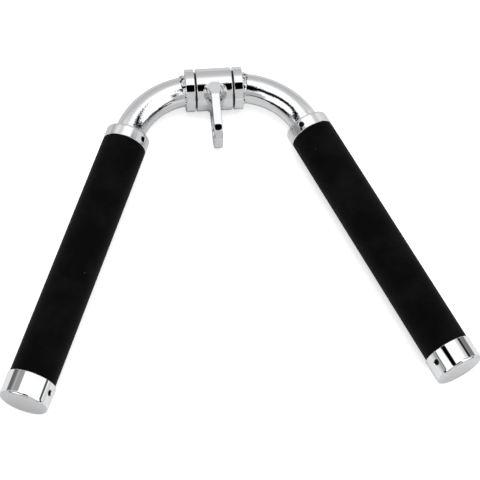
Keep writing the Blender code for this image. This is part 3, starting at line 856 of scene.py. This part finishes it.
smooth_chrome = plated("chrome_on_ground_steel", roughness=0.025, ripple_size=0.004,
                       ripple_height=0.000002)
for name, side in SIDES.items():
    arm_start, arm_along = arm_line(side)
    outer_r = outer_radius(name + "_grip_collar")
    profile = rounded_profile([(outer_r, COLLAR_NEAR, COLLAR_SHOULDER), (outer_r, COLLAR_FAR, RIM),
                               (bore_r, COLLAR_FAR, RIM), (bore_r, COLLAR_NEAR, RIM)], 8)
    hole_angle = pi / 2 + side * radians(SCREW_TURN[name + "_grip_collar"])
    grids = drilled(profile, outer_r, hole_angle, (COLLAR_NEAR + COLLAR_FAR) / 2)
    collar = grid_mesh(name + "_shoulder_collar",
                       [placed(grid, arm_start, arm_along) for grid in grids], smooth_chrome)
    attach(collar, "bar")
    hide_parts(name + "_grip_collar")
    outer_r = outer_radius(name + "_end_cap")
    profile = rounded_profile([(outer_r, CAP_NEAR, RIM), (outer_r, CAP_END, CAP_SHOULDER), (0, CAP_END, 0),
                               (0, CAP_FLOOR, 0), (bore_r, CAP_FLOOR, 0), (bore_r, CAP_NEAR, RIM)], 8)
    hole_angle = pi / 2 + side * radians(SCREW_TURN[name + "_end_cap"])
    grids = drilled(profile, outer_r, hole_angle, (CAP_NEAR + CAP_FLOOR) / 2)
    cap = grid_mesh(name + "_plated_cap",
                    [placed(grid, arm_start, arm_along) for grid in grids], smooth_chrome)
    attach(cap, "bar")
    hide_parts(name + "_end_cap")

# Set screws: black oxide steel with a hexagon socket, sunk just below the surface round them.
# The oxide makes a dark, half matt metal. Its grain is drawn coarser than it is, so that it shows.
SCREW_R = 0.0021
SCREW_CHAMFER = 0.0004
SCREW_STEP = 0.0006
SOCKET_HALF = 0.00125
SOCKET_DEPTH = 0.0022
OXIDE_GRAIN = 0.0002
oxide = fine_grained("black_oxide_steel", OXIDE_GRAIN,
                     {"Base Color": linear("2A2A2B"), "Metallic": 1.0, "Roughness": 0.4})


def set_screw(length, sides=72):
    """A turned screw whose inner columns follow a hexagon: radius = half width / cos(angle to its flat)."""
    angle = tau * np.linspace(0, 1, sides + 1)[:, None]
    hexagon = SOCKET_HALF / np.cos(np.mod(angle, pi / 3) - pi / 6)
    plain = [(0, 0), (SCREW_R - 2 * SCREW_CHAMFER, 0), (SCREW_R, 2 * SCREW_CHAMFER),
             (SCREW_R, length - SCREW_CHAMFER), (SCREW_R - SCREW_CHAMFER, length)]
    columns = [(np.full_like(angle, radius), height) for radius, height in plain]
    columns += [(hexagon, length), (hexagon, length - SOCKET_DEPTH),
                (0 * angle, length - SOCKET_DEPTH - SOCKET_HALF / 2)]
    radius = np.concatenate([radius for radius, _ in columns], 1)
    height = np.broadcast_to([height for _, height in columns], radius.shape)
    return np.stack([radius * np.cos(angle), radius * np.sin(angle), height], -1)


for name, side in SIDES.items():
    arm_start, arm_along = arm_line(side)
    for part, near, far in (("_grip_collar", COLLAR_NEAR, COLLAR_FAR), ("_end_cap", CAP_NEAR, CAP_FLOOR)):
        length = outer_radius(name + part) - SCREW_STEP - bore_r
        turn = radians(SCREW_TURN[name + part])
        inward = np.cross((0, 0, 1), arm_along) * -side
        outward = cos(turn) * np.array([0, 0, 1]) + sin(turn) * inward
        seat = arm_start + arm_along * (near + far) / 2 + outward * bore_r
        screw = grid_mesh(name + part + "_socket_screw",
                          [placed(set_screw(length), seat, outward, arm_along)], oxide)
        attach(screw, "bar")
        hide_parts(name + part + "_set_screw")

# Rubber grips: dense moulded rubber tubes pushed onto the bar. Near black and matt, slightly cloudy
# from handling, with a few specks of dust. The grain is drawn coarser than it is, so that it shows.
GRIP_NEAR = 0.0128
GRIP_FAR = 0.2278
GRIP_SHOULDER = 0.0016
RUBBER_COLOUR = "050505"
CLOUD_COLOUR = "121212"
CLOUD_SIZE = 0.028
# The clouds lie where the noise is between these two values
CLOUD_EDGE = 0.42, 0.75
# A speck's radius is a share of their spacing, and most places stay without one
DUST_COLOUR = "3C3C3A"
SPECK_SPACING = 0.0055
SPECK_SHARE = 0.09
EMPTY_SHARE = 0.86
RUBBER_GRAIN = 0.002 / 3
RUBBER_GRAIN_DEPTH = 0.00004
rubber, tree = new_material("moulded_rubber")
place = add_node(tree, "ShaderNodeTexCoord").outputs["Object"]
cloud = add_node(tree, "ShaderNodeTexNoise",
                 {"Vector": place, "Scale": 1 / CLOUD_SIZE, "Detail": 4.0, "Roughness": 0.6})
cloud = add_node(tree, "ShaderNodeMapRange",
                 {"Value": cloud.outputs[0], "From Min": CLOUD_EDGE[0], "From Max": CLOUD_EDGE[1]})
colour = add_node(tree, "ShaderNodeMix",
                  {0: cloud.outputs[0], 6: linear(RUBBER_COLOUR), 7: linear(CLOUD_COLOUR)},
                  data_type="RGBA")
dust = add_node(tree, "ShaderNodeTexVoronoi", {"Vector": place, "Scale": 1 / SPECK_SPACING})
small = add_node(tree, "ShaderNodeMath", {0: dust.outputs["Distance"], 1: SPECK_SHARE},
                 operation="LESS_THAN")
cell = add_node(tree, "ShaderNodeSeparateColor", {"Color": dust.outputs["Color"]})
few = add_node(tree, "ShaderNodeMath", {0: cell.outputs[0], 1: EMPTY_SHARE}, operation="GREATER_THAN")
speck = add_node(tree, "ShaderNodeMath", {0: small.outputs[0], 1: few.outputs[0]}, operation="MULTIPLY")
colour = add_node(tree, "ShaderNodeMix",
                  {0: speck.outputs[0], 6: colour.outputs[2], 7: linear(DUST_COLOUR)},
                  data_type="RGBA")
grain = add_node(tree, "ShaderNodeTexNoise",
                 {"Vector": place, "Scale": 1 / RUBBER_GRAIN, "Detail": 3.0})
bump = add_node(tree, "ShaderNodeBump",
                {"Strength": 0.5, "Distance": RUBBER_GRAIN_DEPTH, "Height": grain.outputs[0]})
shader = add_node(tree, "ShaderNodeBsdfPrincipled",
                  {"Base Color": colour.outputs[2], "Roughness": 0.72, "IOR": 1.5,
                   "Specular IOR Level": 0.06, "Sheen Weight": 0.04, "Sheen Roughness": 0.4,
                   "Normal": bump.outputs[0]})
add_node(tree, "ShaderNodeOutputMaterial", {"Surface": shader.outputs[0]})
for name, side in SIDES.items():
    outer_r = outer_radius(name + "_grip")
    profile = closed(rounded_profile([(outer_r, GRIP_NEAR, GRIP_SHOULDER), (outer_r, GRIP_FAR, RIM),
                                      (bore_r, GRIP_FAR, 0), (bore_r, GRIP_NEAR, 0)]))
    grip = grid_mesh(name + "_rubber_grip", [placed(turned(profile), *arm_line(side))], rubber)
    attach(grip, "bar")
    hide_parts(name + "_grip")
